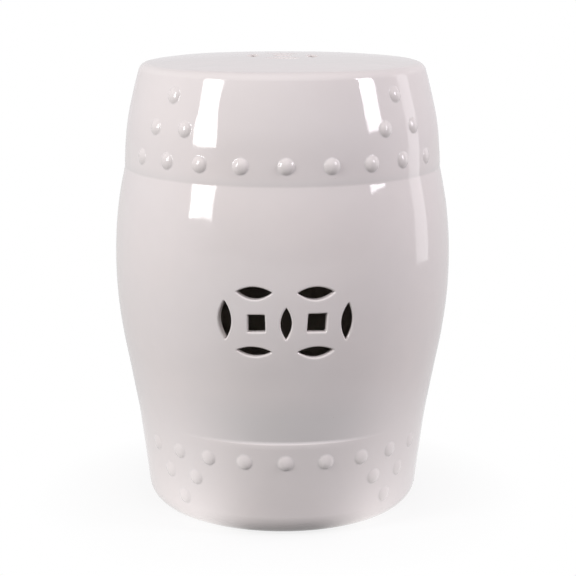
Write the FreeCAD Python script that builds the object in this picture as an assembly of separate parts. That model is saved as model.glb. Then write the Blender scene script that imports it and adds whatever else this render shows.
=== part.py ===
import FreeCAD, Part
import math
import os

# Ceramic garden stool: a hollow glazed barrel, open underneath, built up from clay parts
# that are luted together with slip. Millimetres, +Z up, origin on the floor at the centre
# of the foot. The front, with the pierced coins, faces -Y.

# Heights of the stacked wall parts
foot_rim_height = 0.5           # straight rim above the foot's rounded corner
lower_band_height = 79.4
belly_height = 249.5
upper_band_height = 92.9        # from the band's lower edge to the start of the shoulder

# Outside shape of the belly
belly_radius = 169.3
belly_widest_height = 151.0     # above the belly's lower edge
belly_curve_radius = 440.0
belly_flank_lean = 10.8         # degrees from upright, below the curved part

# Outside shape of the two bands, the shoulder and the seat
lower_band_proud = 0.9          # how far the band stands out beyond the belly
lower_band_lean = 7.9           # degrees from upright
upper_band_proud = 0.9
upper_band_lean = 2.7           # degrees from upright at the band's lower edge
upper_band_curve_radius = 390.0
band_edge_round = 0.7
shoulder_radius = 11.0
seat_rim_slope = 4.96           # degrees: the crowned seat's slope at its rim

# Wall, foot and joints
wall = 9.0
seat_thickness = 10.0
foot_corner_radius = 24.5
foot_lip_width = 15.5           # from the rounded corner in to the opening underneath
foot_lip_round = 2.0
lap_height = 12.0               # how far one wall part reaches inside the next
foot_lap_height = 6.0
slip_gap = 0.3                  # layer of slip round a lap or a peg
seat_shelf_width = 14.0
seat_shelf_thickness = 9.0
seat_cove_height = 12.0
seat_cove_fullness = 0.35       # share of the way from the cove's chord to its corner

# Studs: on each band a row across the front and one across the back, clear of the two sides
# where the mould parts, and three more in a triangle at each corner. Angles start at the front
row_stud_count = 9
stud_step = 15.0                # degrees from one stud of a row to the next
triangle_angles = {"front_right": 45.0, "back_right": 135.0, "back_left": 225.0,
                   "front_left": 315.0}
upper_stud_diameter = 16.5
upper_stud_height = 3.8
lower_stud_diameter = 16.0
lower_stud_height = 3.2
stud_skirt = 0.8                # short straight side that the wall's surface cuts
peg_diameter = 11.0
peg_depth = 2.5
upper_row_margin = 7.6          # from the upper band's lower edge to its rows of studs
upper_peak_margin = 7.4         # from the shoulder down to the triangles' single studs
lower_row_margin = 14.5         # from the lower band's upper edge to its rows of studs
lower_peak_margin = 1.8         # from the foot ring up to the triangles' single studs

# Pierced coins: four lens-shaped petals round a square
coin_height = 120.5             # the coins' centres, above the belly's lower edge
petal_ring_radius = 29.0        # from a coin's centre to the centre of each petal
petal_length = 33.5
petal_width = 12.0
square_side = 16.5
pierced_faces = 2               # the front, and the same again at the back

# Levels and angles that follow from the sizes above
lower_lean = math.radians(lower_band_lean)
foot_corner_z = foot_corner_radius * (1 - math.sin(lower_lean))
foot_ring_height = foot_corner_z + foot_rim_height
lower_joint_z = foot_ring_height + lower_band_height
upper_joint_z = lower_joint_z + belly_height
shoulder_z = upper_joint_z + upper_band_height
belly_widest_z = lower_joint_z + belly_widest_height
flank_lean = math.radians(belly_flank_lean)
upper_lean = math.radians(upper_band_lean)
rim_slope = math.radians(seat_rim_slope)

up = FreeCAD.Vector(0, 0, 1)
origin = FreeCAD.Vector(0, 0, 0)


def at(radius, z):
    """A point of a turned outline, in the plane through the axis."""
    return FreeCAD.Vector(radius, 0, z)


def line(start, end):
    return Part.makeLine(start, end)


def arc(start, middle, end):
    return Part.Arc(start, middle, end).toShape()


def turned(edges):
    """Solid of revolution of a closed outline about the upright axis."""
    face = Part.Face(Part.Wire(edges))
    return face.revolve(origin, up, 360)


def outline(points):
    """Straight edges through the points, in order."""
    return [line(a, b) for a, b in zip(points, points[1:])]


def surface_edge(radius_at, low, high, inset=0.0):
    """One edge along a wall surface, from one height to another."""
    middle = (low + high) / 2
    return arc(at(radius_at(low, inset), low), at(radius_at(middle, inset), middle),
               at(radius_at(high, inset), high))


# The belly's outside, and its offset inwards by inset
def belly_bend_z(inset=0.0):
    """Height where the curved part of the belly turns into the straight flank."""
    return belly_widest_z - (belly_curve_radius - inset) * math.sin(flank_lean)


def belly_radius_at(z, inset=0.0):
    curve = belly_curve_radius - inset
    centre = belly_radius - belly_curve_radius
    bend_z = belly_bend_z(inset)
    if z < bend_z:
        return centre + curve * math.cos(flank_lean) - (bend_z - z) * math.tan(flank_lean)
    return centre + math.sqrt(curve ** 2 - (z - belly_widest_z) ** 2)


def belly_edges(inset=0.0):
    """The belly's surface from its lower to its upper edge: a straight flank, then an arc."""
    bend_z = belly_bend_z(inset)
    if bend_z <= lower_joint_z:
        return [surface_edge(belly_radius_at, lower_joint_z, upper_joint_z, inset)]
    flank = line(at(belly_radius_at(lower_joint_z, inset), lower_joint_z),
                 at(belly_radius_at(bend_z, inset), bend_z))
    return [flank, surface_edge(belly_radius_at, bend_z, upper_joint_z, inset)]


# The lower band is a cone
def lower_radius_at(z, inset=0.0):
    top_radius = belly_radius_at(lower_joint_z) + lower_band_proud
    return top_radius - (lower_joint_z - z) * math.tan(lower_lean) - inset / math.cos(lower_lean)


# The upper band is an arc that leans in towards the shoulder
upper_centre_z = upper_joint_z - upper_band_curve_radius * math.sin(upper_lean)
upper_centre_radius = (belly_radius_at(upper_joint_z) + upper_band_proud
                       - upper_band_curve_radius * math.cos(upper_lean))


def upper_radius_at(z, inset=0.0):
    curve = upper_band_curve_radius - inset
    return upper_centre_radius + math.sqrt(curve ** 2 - (z - upper_centre_z) ** 2)


# The shoulder runs on smoothly from the band and into the crowned seat
shoulder_start_angle = math.asin((shoulder_z - upper_centre_z) / upper_band_curve_radius)
shoulder_centre_radius = (upper_radius_at(shoulder_z)
                          - shoulder_radius * math.cos(shoulder_start_angle))
shoulder_centre_z = shoulder_z - shoulder_radius * math.sin(shoulder_start_angle)
seat_radius = shoulder_centre_radius + shoulder_radius * math.sin(rim_slope)
seat_rim_z = shoulder_centre_z + shoulder_radius * math.cos(rim_slope)
crown_radius = seat_radius / math.sin(rim_slope)
crown_centre_z = seat_rim_z - crown_radius * math.cos(rim_slope)


def seat_z_at(radius, inset=0.0):
    """Height of the crowned seat's surface, or of its offset downwards."""
    return crown_centre_z + math.sqrt((crown_radius - inset) ** 2 - radius ** 2)


# The two halves of the wall's thickness meet at each lap
def lower_lap_radius(z):
    return lower_radius_at(z, wall / 2)


def upper_lap_radius(z):
    return upper_radius_at(z, wall / 2)


foot_lap_z = foot_ring_height - foot_lap_height
lower_lap_z = lower_joint_z - lap_height
upper_lap_z = upper_joint_z + lap_height


# Wall parts
def make_foot_ring():
    """Turned-in foot: flat contact ring, rounded corner, and a rim that holds the lower drum."""
    corner_centre = lower_radius_at(foot_corner_z) - foot_corner_radius * math.cos(lower_lean)
    inner_corner = foot_corner_radius - wall

    def corner_point(radius, degrees_down):
        angle = math.radians(degrees_down)
        return at(corner_centre + radius * math.cos(angle),
                  foot_corner_radius - radius * math.sin(angle))

    inner_top_radius = corner_centre + math.sqrt(
        inner_corner ** 2 - (foot_corner_radius - foot_lap_z) ** 2)
    inner_top_down = math.degrees(math.asin((foot_corner_radius - foot_lap_z) / inner_corner))
    lip_inner = corner_centre - foot_lip_width
    lip_outer = lip_inner + foot_lip_round
    lip_turn = foot_lip_round * (1 - math.cos(math.pi / 4))
    edges = [
        line(at(lip_outer, 0), at(corner_centre, 0)),
        arc(at(corner_centre, 0), corner_point(foot_corner_radius, (90 + lower_band_lean) / 2),
            corner_point(foot_corner_radius, lower_band_lean)),
        line(corner_point(foot_corner_radius, lower_band_lean),
             at(lower_radius_at(foot_ring_height), foot_ring_height)),
        line(at(lower_radius_at(foot_ring_height), foot_ring_height),
             at(lower_lap_radius(foot_ring_height), foot_ring_height)),
        line(at(lower_lap_radius(foot_ring_height), foot_ring_height),
             at(lower_lap_radius(foot_lap_z), foot_lap_z)),
        line(at(lower_lap_radius(foot_lap_z), foot_lap_z), at(inner_top_radius, foot_lap_z)),
        arc(at(inner_top_radius, foot_lap_z),
            corner_point(inner_corner, (90 + inner_top_down) / 2), at(corner_centre, wall)),
        line(at(corner_centre, wall), at(lip_outer, wall)),
        arc(at(lip_outer, wall), at(lip_inner + lip_turn, wall - lip_turn),
            at(lip_inner, wall - foot_lip_round)),
        line(at(lip_inner, wall - foot_lip_round), at(lip_inner, foot_lip_round)),
        arc(at(lip_inner, foot_lip_round), at(lip_inner + lip_turn, lip_turn), at(lip_outer, 0)),
    ]
    return turned(edges)


def make_lower_drum():
    """Lower band: its rim carries the belly, and its tongue drops into the foot ring."""
    crest_z = lower_joint_z - band_edge_round
    crest_radius = lower_radius_at(crest_z)
    turn = band_edge_round * (1 - math.cos(math.pi / 4))
    edges = outline([
        at(lower_lap_radius(foot_lap_z) - slip_gap, foot_lap_z),
        at(lower_lap_radius(foot_ring_height) - slip_gap, foot_ring_height),
        at(lower_radius_at(foot_ring_height), foot_ring_height),
        at(crest_radius, crest_z),
    ])
    edges.append(arc(at(crest_radius, crest_z), at(crest_radius - turn, lower_joint_z - turn),
                     at(crest_radius - band_edge_round, lower_joint_z)))
    edges += outline([
        at(crest_radius - band_edge_round, lower_joint_z),
        at(lower_lap_radius(lower_joint_z), lower_joint_z),
        at(lower_lap_radius(lower_lap_z), lower_lap_z),
        at(lower_radius_at(lower_lap_z, wall), lower_lap_z),
        at(lower_radius_at(foot_lap_z, wall), foot_lap_z),
        at(lower_lap_radius(foot_lap_z) - slip_gap, foot_lap_z),
    ])
    return turned(edges)


def make_belly():
    """Barrel wall with a tongue below, into the lower drum, and one above, into the upper."""
    edges = outline([
        at(lower_lap_radius(lower_lap_z) - slip_gap, lower_lap_z),
        at(lower_lap_radius(lower_joint_z) - slip_gap, lower_joint_z),
        at(belly_radius_at(lower_joint_z), lower_joint_z),
    ])
    edges += belly_edges()
    edges += outline([
        at(belly_radius_at(upper_joint_z), upper_joint_z),
        at(upper_lap_radius(upper_joint_z) - slip_gap, upper_joint_z),
        at(upper_lap_radius(upper_lap_z) - slip_gap, upper_lap_z),
        at(upper_radius_at(upper_lap_z, wall), upper_lap_z),
        at(belly_radius_at(upper_joint_z, wall), upper_joint_z),
    ])
    edges += belly_edges(wall)
    edges += outline([
        at(belly_radius_at(lower_joint_z, wall), lower_joint_z),
        at(lower_radius_at(lower_lap_z, wall), lower_lap_z),
        at(lower_lap_radius(lower_lap_z) - slip_gap, lower_lap_z),
    ])
    return turned(Part.sortEdges(edges)[0])


def make_upper_drum():
    """Upper band and shoulder, with a shelf inside its mouth that the seat disc rests on."""
    skirt_z = upper_joint_z + band_edge_round
    skirt_radius = upper_radius_at(skirt_z)
    turn = band_edge_round * (1 - math.cos(math.pi / 4))
    shelf_radius = seat_radius - seat_shelf_width
    shelf_z = seat_z_at(shelf_radius, seat_thickness)
    shelf_wall_z = seat_z_at(seat_radius, seat_thickness)
    lip_z = shelf_z - seat_shelf_thickness
    cove_z = lip_z - seat_cove_height
    cove_radius = upper_radius_at(cove_z, wall)
    chord = at((shelf_radius + cove_radius) / 2, (lip_z + cove_z) / 2)
    cove_corner = at(cove_radius, lip_z)
    shoulder_middle = (shoulder_start_angle + math.pi / 2 - rim_slope) / 2
    shelf_middle = seat_radius - seat_shelf_width / 2
    edges = [
        line(at(upper_lap_radius(upper_joint_z), upper_joint_z),
             at(skirt_radius - band_edge_round, upper_joint_z)),
        arc(at(skirt_radius - band_edge_round, upper_joint_z),
            at(skirt_radius - turn, upper_joint_z + turn), at(skirt_radius, skirt_z)),
        surface_edge(upper_radius_at, skirt_z, shoulder_z),
        arc(at(upper_radius_at(shoulder_z), shoulder_z),
            at(shoulder_centre_radius + shoulder_radius * math.cos(shoulder_middle),
               shoulder_centre_z + shoulder_radius * math.sin(shoulder_middle)),
            at(seat_radius, seat_rim_z)),
        line(at(seat_radius, seat_rim_z), at(seat_radius, shelf_wall_z)),
        arc(at(seat_radius, shelf_wall_z),
            at(shelf_middle, seat_z_at(shelf_middle, seat_thickness)), at(shelf_radius, shelf_z)),
        line(at(shelf_radius, shelf_z), at(shelf_radius, lip_z)),
        arc(at(shelf_radius, lip_z), chord + (cove_corner - chord) * seat_cove_fullness,
            at(cove_radius, cove_z)),
        surface_edge(upper_radius_at, upper_lap_z, cove_z, wall),
    ]
    edges += outline([
        at(upper_radius_at(upper_lap_z, wall), upper_lap_z),
        at(upper_lap_radius(upper_lap_z), upper_lap_z),
        at(upper_lap_radius(upper_joint_z), upper_joint_z),
    ])
    return turned(Part.sortEdges(edges)[0])


def make_seat_disc():
    """Crowned disc that drops inside the shoulder, one thickness all over."""
    rim = seat_radius - slip_gap

    def crown(inset):
        return arc(at(0, seat_z_at(0, inset)), at(rim / 2, seat_z_at(rim / 2, inset)),
                   at(rim, seat_z_at(rim, inset)))

    edges = [
        crown(0),
        line(at(rim, seat_z_at(rim)), at(rim, seat_z_at(rim, seat_thickness))),
        crown(seat_thickness),
        line(at(0, seat_z_at(0, seat_thickness)), at(0, seat_z_at(0))),
    ]
    return turned(Part.sortEdges(edges)[0])


# Pierced coins
def petal_face(along_x):
    """Lens between two equal arcs, centred on the origin in the XY plane."""
    long = petal_length / 2
    wide = petal_width / 2
    ends = [FreeCAD.Vector(-long, 0, 0), FreeCAD.Vector(long, 0, 0)]
    sides = [FreeCAD.Vector(0, wide, 0), FreeCAD.Vector(0, -wide, 0)]
    wire = Part.Wire([arc(ends[0], sides[0], ends[1]), arc(ends[1], sides[1], ends[0])])
    if not along_x:
        wire.rotate(origin, up, 90)
    return Part.Face(wire)


def square_face():
    half = square_side / 2
    corners = [(-half, -half), (half, -half), (half, half), (-half, half), (-half, -half)]
    return Part.Face(Part.makePolygon([FreeCAD.Vector(x, y, 0) for x, y in corners]))


def coin_cuts(coin_centres):
    """Every cut of a chain of coins that share the petals between them: (x, y, flat face)."""
    cuts = []
    for x in coin_centres:
        cuts.append((x, 0, square_face()))
        cuts.append((x, petal_ring_radius, petal_face(True)))
        cuts.append((x, -petal_ring_radius, petal_face(True)))
    first = coin_centres[0] - petal_ring_radius
    for index in range(len(coin_centres) + 1):
        cuts.append((first + 2 * index * petal_ring_radius, 0, petal_face(False)))
    return cuts


def wall_cutter(face, sideways, height, turn):
    """Cutter square to the belly's wall: sideways is measured round the wall."""
    depth = 3 * wall
    middle_radius = belly_radius_at(height)
    cutter = face.extrude(up * depth)
    cutter.translate(FreeCAD.Vector(0, 0, middle_radius - depth / 2))
    cutter.rotate(origin, FreeCAD.Vector(1, 0, 0), 90)
    cutter.translate(FreeCAD.Vector(0, 0, height))
    cutter.rotate(origin, up, turn + math.degrees(sideways / middle_radius))
    return cutter


def pierce_belly(belly):
    cutters = []
    for side in range(pierced_faces):
        for x, y, face in coin_cuts([-petal_ring_radius, petal_ring_radius]):
            height = lower_joint_z + coin_height + y
            cutters.append(wall_cutter(face, x, height, side * 360 / pierced_faces))
    return belly.cut(cutters)


def pierce_seat(seat):
    cutters = []
    for x, y, face in coin_cuts([0]):
        cutter = face.extrude(up * 2 * seat_z_at(0))
        cutter.translate(FreeCAD.Vector(x, y, 0))
        cutters.append(cutter)
    return seat.cut(cutters)


# Studs and the pockets that their pegs sit in
def place_on_wall(shape, radius, z, wall_angle):
    """Turn a shape that points up to stand square on the wall at the front."""
    shape.rotate(origin, FreeCAD.Vector(1, 0, 0), 90 - wall_angle)
    shape.translate(FreeCAD.Vector(0, -radius, z))
    return shape


def stud_blank(diameter, height):
    """Dome with a short straight skirt and a round peg behind it."""
    half = diameter / 2
    peg = peg_diameter / 2
    dome_radius = (half ** 2 + height ** 2) / (2 * height)
    dome_centre_z = height - dome_radius
    middle_radius = half / 2
    middle_z = dome_centre_z + math.sqrt(dome_radius ** 2 - middle_radius ** 2)
    edges = outline([
        at(0, height),
        at(0, -peg_depth),
        at(peg, -peg_depth),
        at(peg, -stud_skirt),
        at(half, -stud_skirt),
        at(half, 0),
    ])
    edges.append(arc(at(half, 0), at(middle_radius, middle_z), at(0, height)))
    return turned(edges)


def pocket_blank():
    pocket = Part.makeCylinder(peg_diameter / 2 + slip_gap, 2 * peg_depth)
    pocket.translate(FreeCAD.Vector(0, 0, -peg_depth))
    return pocket


def copies(shape, angles):
    """One turned copy of the shape at each angle, counted from the front."""
    turned_copies = []
    for angle in angles:
        turned_copy = shape.copy()
        turned_copy.rotate(origin, up, angle)
        turned_copies.append(turned_copy)
    return turned_copies


row_angles = [facing + (index - (row_stud_count - 1) / 2) * stud_step
              for facing in (0, 180) for index in range(row_stud_count)]


def upper_wall_angle(z):
    """Degrees that the upper band's surface looks up."""
    return math.degrees(math.asin((z - upper_centre_z) / upper_band_curve_radius))


upper_row_z = upper_joint_z + upper_row_margin + upper_stud_diameter / 2
upper_peak_z = shoulder_z - upper_peak_margin - upper_stud_diameter / 2
lower_row_z = lower_joint_z - lower_row_margin - lower_stud_diameter / 2
lower_peak_z = foot_ring_height + lower_peak_margin + lower_stud_diameter / 2


def upper_spot(z):
    return upper_radius_at(z), z, upper_wall_angle(z)


def lower_spot(z):
    return lower_radius_at(z), z, -lower_band_lean


# Places of the studs: where on the wall, and at which angles round it
upper_row = [(upper_spot(upper_row_z), row_angles)]
lower_row = [(lower_spot(lower_row_z), row_angles)]


def triangle_places(centre, tier_spot, peak_spot):
    """Three studs: a pair half a step each side of the centre, and a single one beyond."""
    return [(tier_spot, [centre - stud_step / 2, centre + stud_step / 2]), (peak_spot, [centre])]


def upper_triangle(centre):
    return triangle_places(centre, upper_spot((upper_row_z + upper_peak_z) / 2),
                           upper_spot(upper_peak_z))


def lower_triangle(centre):
    return triangle_places(centre, lower_spot((lower_row_z + lower_peak_z) / 2),
                           lower_spot(lower_peak_z))


def cut_pockets(section, places):
    """The section with a peg pocket at every place."""
    pockets = []
    for spot, angles in places:
        pockets += copies(place_on_wall(pocket_blank(), *spot), angles)
    return section.cut(pockets)


def make_studs(section, diameter, height, places):
    """Studs at every place, each fitted to the wall of the section that carries it."""
    studs = []
    for spot, angles in places:
        blank = place_on_wall(stud_blank(diameter, height), *spot)
        blank.rotate(origin, up, angles[0])
        fitted = blank.cut(section)
        studs += copies(fitted, [angle - angles[0] for angle in angles])
    return Part.makeCompound(studs)


def save(shape, node):
    shape.exportStep(os.path.join("parts", node + ".step"))


def main():
    os.makedirs("parts", exist_ok=True)
    upper_places = list(upper_row)
    lower_places = list(lower_row)
    for angle in triangle_angles.values():
        upper_places += upper_triangle(angle)
        lower_places += lower_triangle(angle)
    upper_drum = cut_pockets(make_upper_drum(), upper_places)
    lower_drum = cut_pockets(make_lower_drum(), lower_places)

    save(pierce_seat(make_seat_disc()), "seat_disc")
    save(upper_drum, "upper_drum_section")
    save(pierce_belly(make_belly()), "belly_section")
    save(lower_drum, "lower_drum_section")
    save(make_foot_ring(), "foot_ring")

    upper_size = (upper_stud_diameter, upper_stud_height)
    lower_size = (lower_stud_diameter, lower_stud_height)
    save(make_studs(upper_drum, *upper_size, upper_row), "upper_row_studs")
    save(make_studs(lower_drum, *lower_size, lower_row), "lower_row_studs")
    for corner, angle in triangle_angles.items():
        save(make_studs(upper_drum, *upper_size, upper_triangle(angle)),
             "upper_triangle_studs_" + corner)
        save(make_studs(lower_drum, *lower_size, lower_triangle(angle)),
             "lower_triangle_studs_" + corner)


main()
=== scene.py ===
import math
from functools import partial

import bpy
import numpy as np
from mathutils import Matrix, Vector
from mathutils.geometry import delaunay_2d_cdt


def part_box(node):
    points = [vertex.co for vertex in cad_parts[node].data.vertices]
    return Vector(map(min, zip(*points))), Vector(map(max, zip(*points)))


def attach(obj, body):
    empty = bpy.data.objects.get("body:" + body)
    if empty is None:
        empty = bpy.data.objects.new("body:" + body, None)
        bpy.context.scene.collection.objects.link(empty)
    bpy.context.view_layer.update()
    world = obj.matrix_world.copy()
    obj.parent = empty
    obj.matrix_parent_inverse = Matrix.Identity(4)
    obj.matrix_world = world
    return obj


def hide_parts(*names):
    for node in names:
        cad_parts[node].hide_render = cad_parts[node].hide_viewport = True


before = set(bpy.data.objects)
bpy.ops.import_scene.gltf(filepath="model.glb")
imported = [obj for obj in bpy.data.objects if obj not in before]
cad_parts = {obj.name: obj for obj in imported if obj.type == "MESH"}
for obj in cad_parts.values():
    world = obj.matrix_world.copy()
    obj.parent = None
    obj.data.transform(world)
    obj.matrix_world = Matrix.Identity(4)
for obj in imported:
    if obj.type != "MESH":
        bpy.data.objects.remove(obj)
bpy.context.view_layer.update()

mm = 0.001

# Levels that the construction fixes
foot_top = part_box("foot_ring")[1].z
lower_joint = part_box("lower_drum_section")[1].z
upper_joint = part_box("upper_drum_section")[0].z
foot_lap = foot_top - 6.0 * mm
lower_lap = lower_joint - 12.0 * mm
upper_lap = upper_joint + 12.0 * mm

# Shape of the outside and of the wall, as in the construction
belly_radius = 169.3 * mm
belly_widest = lower_joint + 151.0 * mm
belly_curve = 440.0 * mm
flank_lean = math.radians(10.8)
lower_lean = math.radians(7.9)
upper_lean = math.radians(2.7)
upper_curve = 390.0 * mm
band_proud = 0.9 * mm
shoulder_start = upper_joint + 92.9 * mm
shoulder_round = 11.0 * mm
rim_slope = math.radians(4.96)
wall = 9.0 * mm
lap_depth = wall / 2             # the wall parts lap half way through the wall
seat_thickness = 10.0 * mm
seat_shelf_width = 14.0 * mm
seat_shelf_thickness = 9.0 * mm
seat_cove_height = 12.0 * mm
seat_cove_fullness = 0.35
foot_corner = 24.5 * mm
foot_lip_width = 15.5 * mm
foot_lip_round = 2.0 * mm
slip_gap = 0.3 * mm

# What the glaze does to the edges, and the painted shade and painted light that go with it
lower_crest_round = 2.0 * mm
lower_crease_fillet = 3.5 * mm
lower_ease_height = 9.0 * mm     # top part of the lower band, which rounds over gently
lower_ease_curve = 30.0 * mm
pinch_height = 48.0 * mm         # lowest part of the belly, pinched in above the ledge
pinch_depth = 1.0 * mm
ledge_drop = 2.6 * mm            # how much the ledge sags at the front and back
side_hollow_height = 30.0 * mm   # the smooth bend that stands for the ledge at the sides
ledge_front, ledge_side = 0.15, 0.75      # sines of the angles between which one becomes the other
upper_edge_round = 100.0 * mm    # the upper band turns in a little above the joint
upper_crease_fillet = 8.0 * mm
crest_search = 7.0 * mm          # a ledge's edge lies within this height of its crease
cut_softness = 0.7 * mm
cut_rim_round = 1.8 * mm
inner_rim_round = 0.8 * mm
skirt_pooling_and_shade = 0.5              # above zero, up to 1, the glaze has pooled, with painted shade, and below it is thin, with painted light
thinned_and_lit = -0.3                   # on rounded edges: thin glaze, with painted light
stud_pooling_and_shade = 0.4               # round a stud: pooled glaze with painted shade; its top is as thin, with painted light

# Places of the studs, as in the construction. Angles are in degrees, counted from the front
row_stud_count = 9
stud_step = 15.0
row_strays = [-0.2, -0.2, -0.6, -0.7, 0.0, 0.6, 0.6, 0.3, 0.3]
triangle_angles = {"front_right": 45.0, "back_right": 135.0, "back_left": 225.0, "front_left": 315.0}
upper_half_stud = 16.5 * mm / 2
lower_half_stud = 16.0 * mm / 2
upper_row_level = upper_joint + 7.6 * mm + upper_half_stud
upper_peak_level = shoulder_start - 7.4 * mm - upper_half_stud
lower_row_level = lower_joint - 14.5 * mm - lower_half_stud
lower_peak_level = foot_top + 1.8 * mm + lower_half_stud

# What shows of the studs in the glaze. Droop is how far the middle hangs below a stud's place
upper_stud = {"diameter": 15.8 * mm, "height": 3.4 * mm, "fillet": 2.4 * mm, "droop": 0.2 * mm}
lower_stud = {"diameter": 15.4 * mm, "height": 2.6 * mm, "fillet": 4.0 * mm, "droop": 1.5 * mm}

# Pierced coins
coin_level = lower_joint + 120.5 * mm
coin_spacing = 58.0 * mm

# Fineness of the meshes
around = 256                     # facets round the axis
window_facets = 19               # facets each side of a coin panel's middle
window_low = coin_level - 51.5 * mm
window_high = coin_level + 50.5 * mm
seat_window = 52.0 * mm          # radius of the middle of the seat
coarse_step = 3.0 * mm
corner_step = 1.2 * mm           # on the foot's large corner
round_step = 0.8 * mm            # on rounded edges
fine_step = 0.35 * mm            # in creases
cut_step = 0.6 * mm              # along the edge of a cut
probe = 0.05 * mm                # half the height over which a slope is measured

random = np.random.default_rng(457)
glazed, bare = 0, 1              # the two finishes, in the order of their materials


# Outside of the walls, and its offset inwards by inset
def arc_at(z, centre, radius):
    return centre[0] + np.sqrt(np.maximum(radius ** 2 - (z - centre[1]) ** 2, 0))


belly_centre = (belly_radius - belly_curve, belly_widest)


def belly_radius_at(z, inset=0.0):
    radius = belly_curve - inset
    bend = belly_widest - radius * math.sin(flank_lean)
    flank = belly_centre[0] + radius * math.cos(flank_lean) - (bend - z) * math.tan(flank_lean)
    return np.where(z < bend, flank, arc_at(z, belly_centre, radius))


def lower_radius_at(z, inset=0.0):
    top = belly_radius_at(lower_joint) + band_proud
    return top - (lower_joint - z) * math.tan(lower_lean) - inset / math.cos(lower_lean)


corner_end = foot_corner * (1 - math.sin(lower_lean))
corner_centre = (lower_radius_at(corner_end) - foot_corner * math.cos(lower_lean), foot_corner)
ease_start = lower_joint - lower_ease_height
ease_centre = (lower_radius_at(ease_start) - lower_ease_curve * math.cos(lower_lean),
               ease_start + lower_ease_curve * math.sin(lower_lean))


def lower_crown_at(z, inset=0.0):
    """The gently rounded top part of the lower band."""
    return arc_at(z, ease_centre, lower_ease_curve - inset)


upper_centre = (belly_radius_at(upper_joint) + band_proud - upper_curve * math.cos(upper_lean),
                upper_joint - upper_curve * math.sin(upper_lean))


def upper_radius_at(z, inset=0.0):
    return arc_at(z, upper_centre, upper_curve - inset)


shoulder_angle = math.asin((shoulder_start - upper_centre[1]) / upper_curve)
shoulder_centre = (upper_radius_at(shoulder_start) - shoulder_round * math.cos(shoulder_angle),
                   shoulder_start - shoulder_round * math.sin(shoulder_angle))
seat_radius = shoulder_centre[0] + shoulder_round * math.sin(rim_slope)
crown_radius = seat_radius / math.sin(rim_slope)
crown_centre_z = shoulder_centre[1] + (shoulder_round - crown_radius) * math.cos(rim_slope)


def seat_z_at(radius, inset=0.0):
    return crown_centre_z + np.sqrt((crown_radius - inset) ** 2 - radius ** 2)


# Unevenness of a surface that was cast, joined and glazed by hand: long and short waves
def make_waves(count, shortest, longest, height):
    directions = random.normal(size=(count, 3))
    directions /= np.linalg.norm(directions, axis=1)[:, None]
    lengths = random.uniform(shortest, longest, count)
    return {
        "vectors": directions * (2 * math.pi / lengths)[:, None],
        "phases": random.uniform(0, 2 * math.pi, count),
        "height": height * math.sqrt(2 / count),
    }


wave_sets = [
    make_waves(16, 90 * mm, 150 * mm, 0.16 * mm),
    make_waves(24, 30 * mm, 46 * mm, 0.035 * mm),
    make_waves(24, 13 * mm, 22 * mm, 0.008 * mm),
]
glaze_sink = 0.3 * mm            # keeps the uneven surface inside the construction
calm_height = 9.0 * mm           # the foot is ground flat, so the waves fade out above the floor
# Rings where the wall is drawn in at the upper joint and swells above it: level, half height, depth
wall_rings = [(upper_joint + 1.5 * mm, 30.0 * mm, -0.5 * mm),
              (upper_joint + 41.5 * mm, 22.0 * mm, 0.45 * mm)]


def uneven(places, normals):
    """Moves places along their normals by the waves and rings, and tilts the normals to match."""
    height = np.full(len(places), -glaze_sink)
    slope = np.zeros_like(places)
    for waves in wave_sets:
        phase = places @ waves["vectors"].T + waves["phases"]
        height += waves["height"] * np.sin(phase).sum(axis=1)
        slope += waves["height"] * np.cos(phase) @ waves["vectors"]
    for level, spread_height, depth in wall_rings:
        offset = (places[:, 2] - level) / spread_height
        ring = depth * np.exp(-offset ** 2)
        height += ring
        slope[:, 2] -= 2 * ring * offset / spread_height
    calm = smooth_share(places[:, 2] / calm_height)[:, None]
    slope -= (slope * normals).sum(axis=1)[:, None] * normals
    tilted = unit(normals - slope * calm)
    return places + normals * height[:, None] * calm, tilted


def smooth_share(share):
    share = np.clip(share, 0, 1)
    return share * share * (3 - 2 * share)


def unit(vectors):
    return vectors / np.linalg.norm(vectors, axis=-1, keepdims=True)


def round_axis(radii, heights, angles):
    """Points or directions. Angles count from the front towards +X."""
    return np.stack([radii * np.sin(angles), -radii * np.cos(angles), heights], axis=-1)


def smooth_skin(radius_at, angles, heights):
    """Places and normals on a face of revolution."""
    radii = radius_at(heights)
    steepness = (radius_at(heights + probe) - radius_at(heights - probe)) / (2 * probe)
    return round_axis(radii, heights, angles), unit(round_axis(np.ones_like(radii), -steepness, angles))


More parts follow.
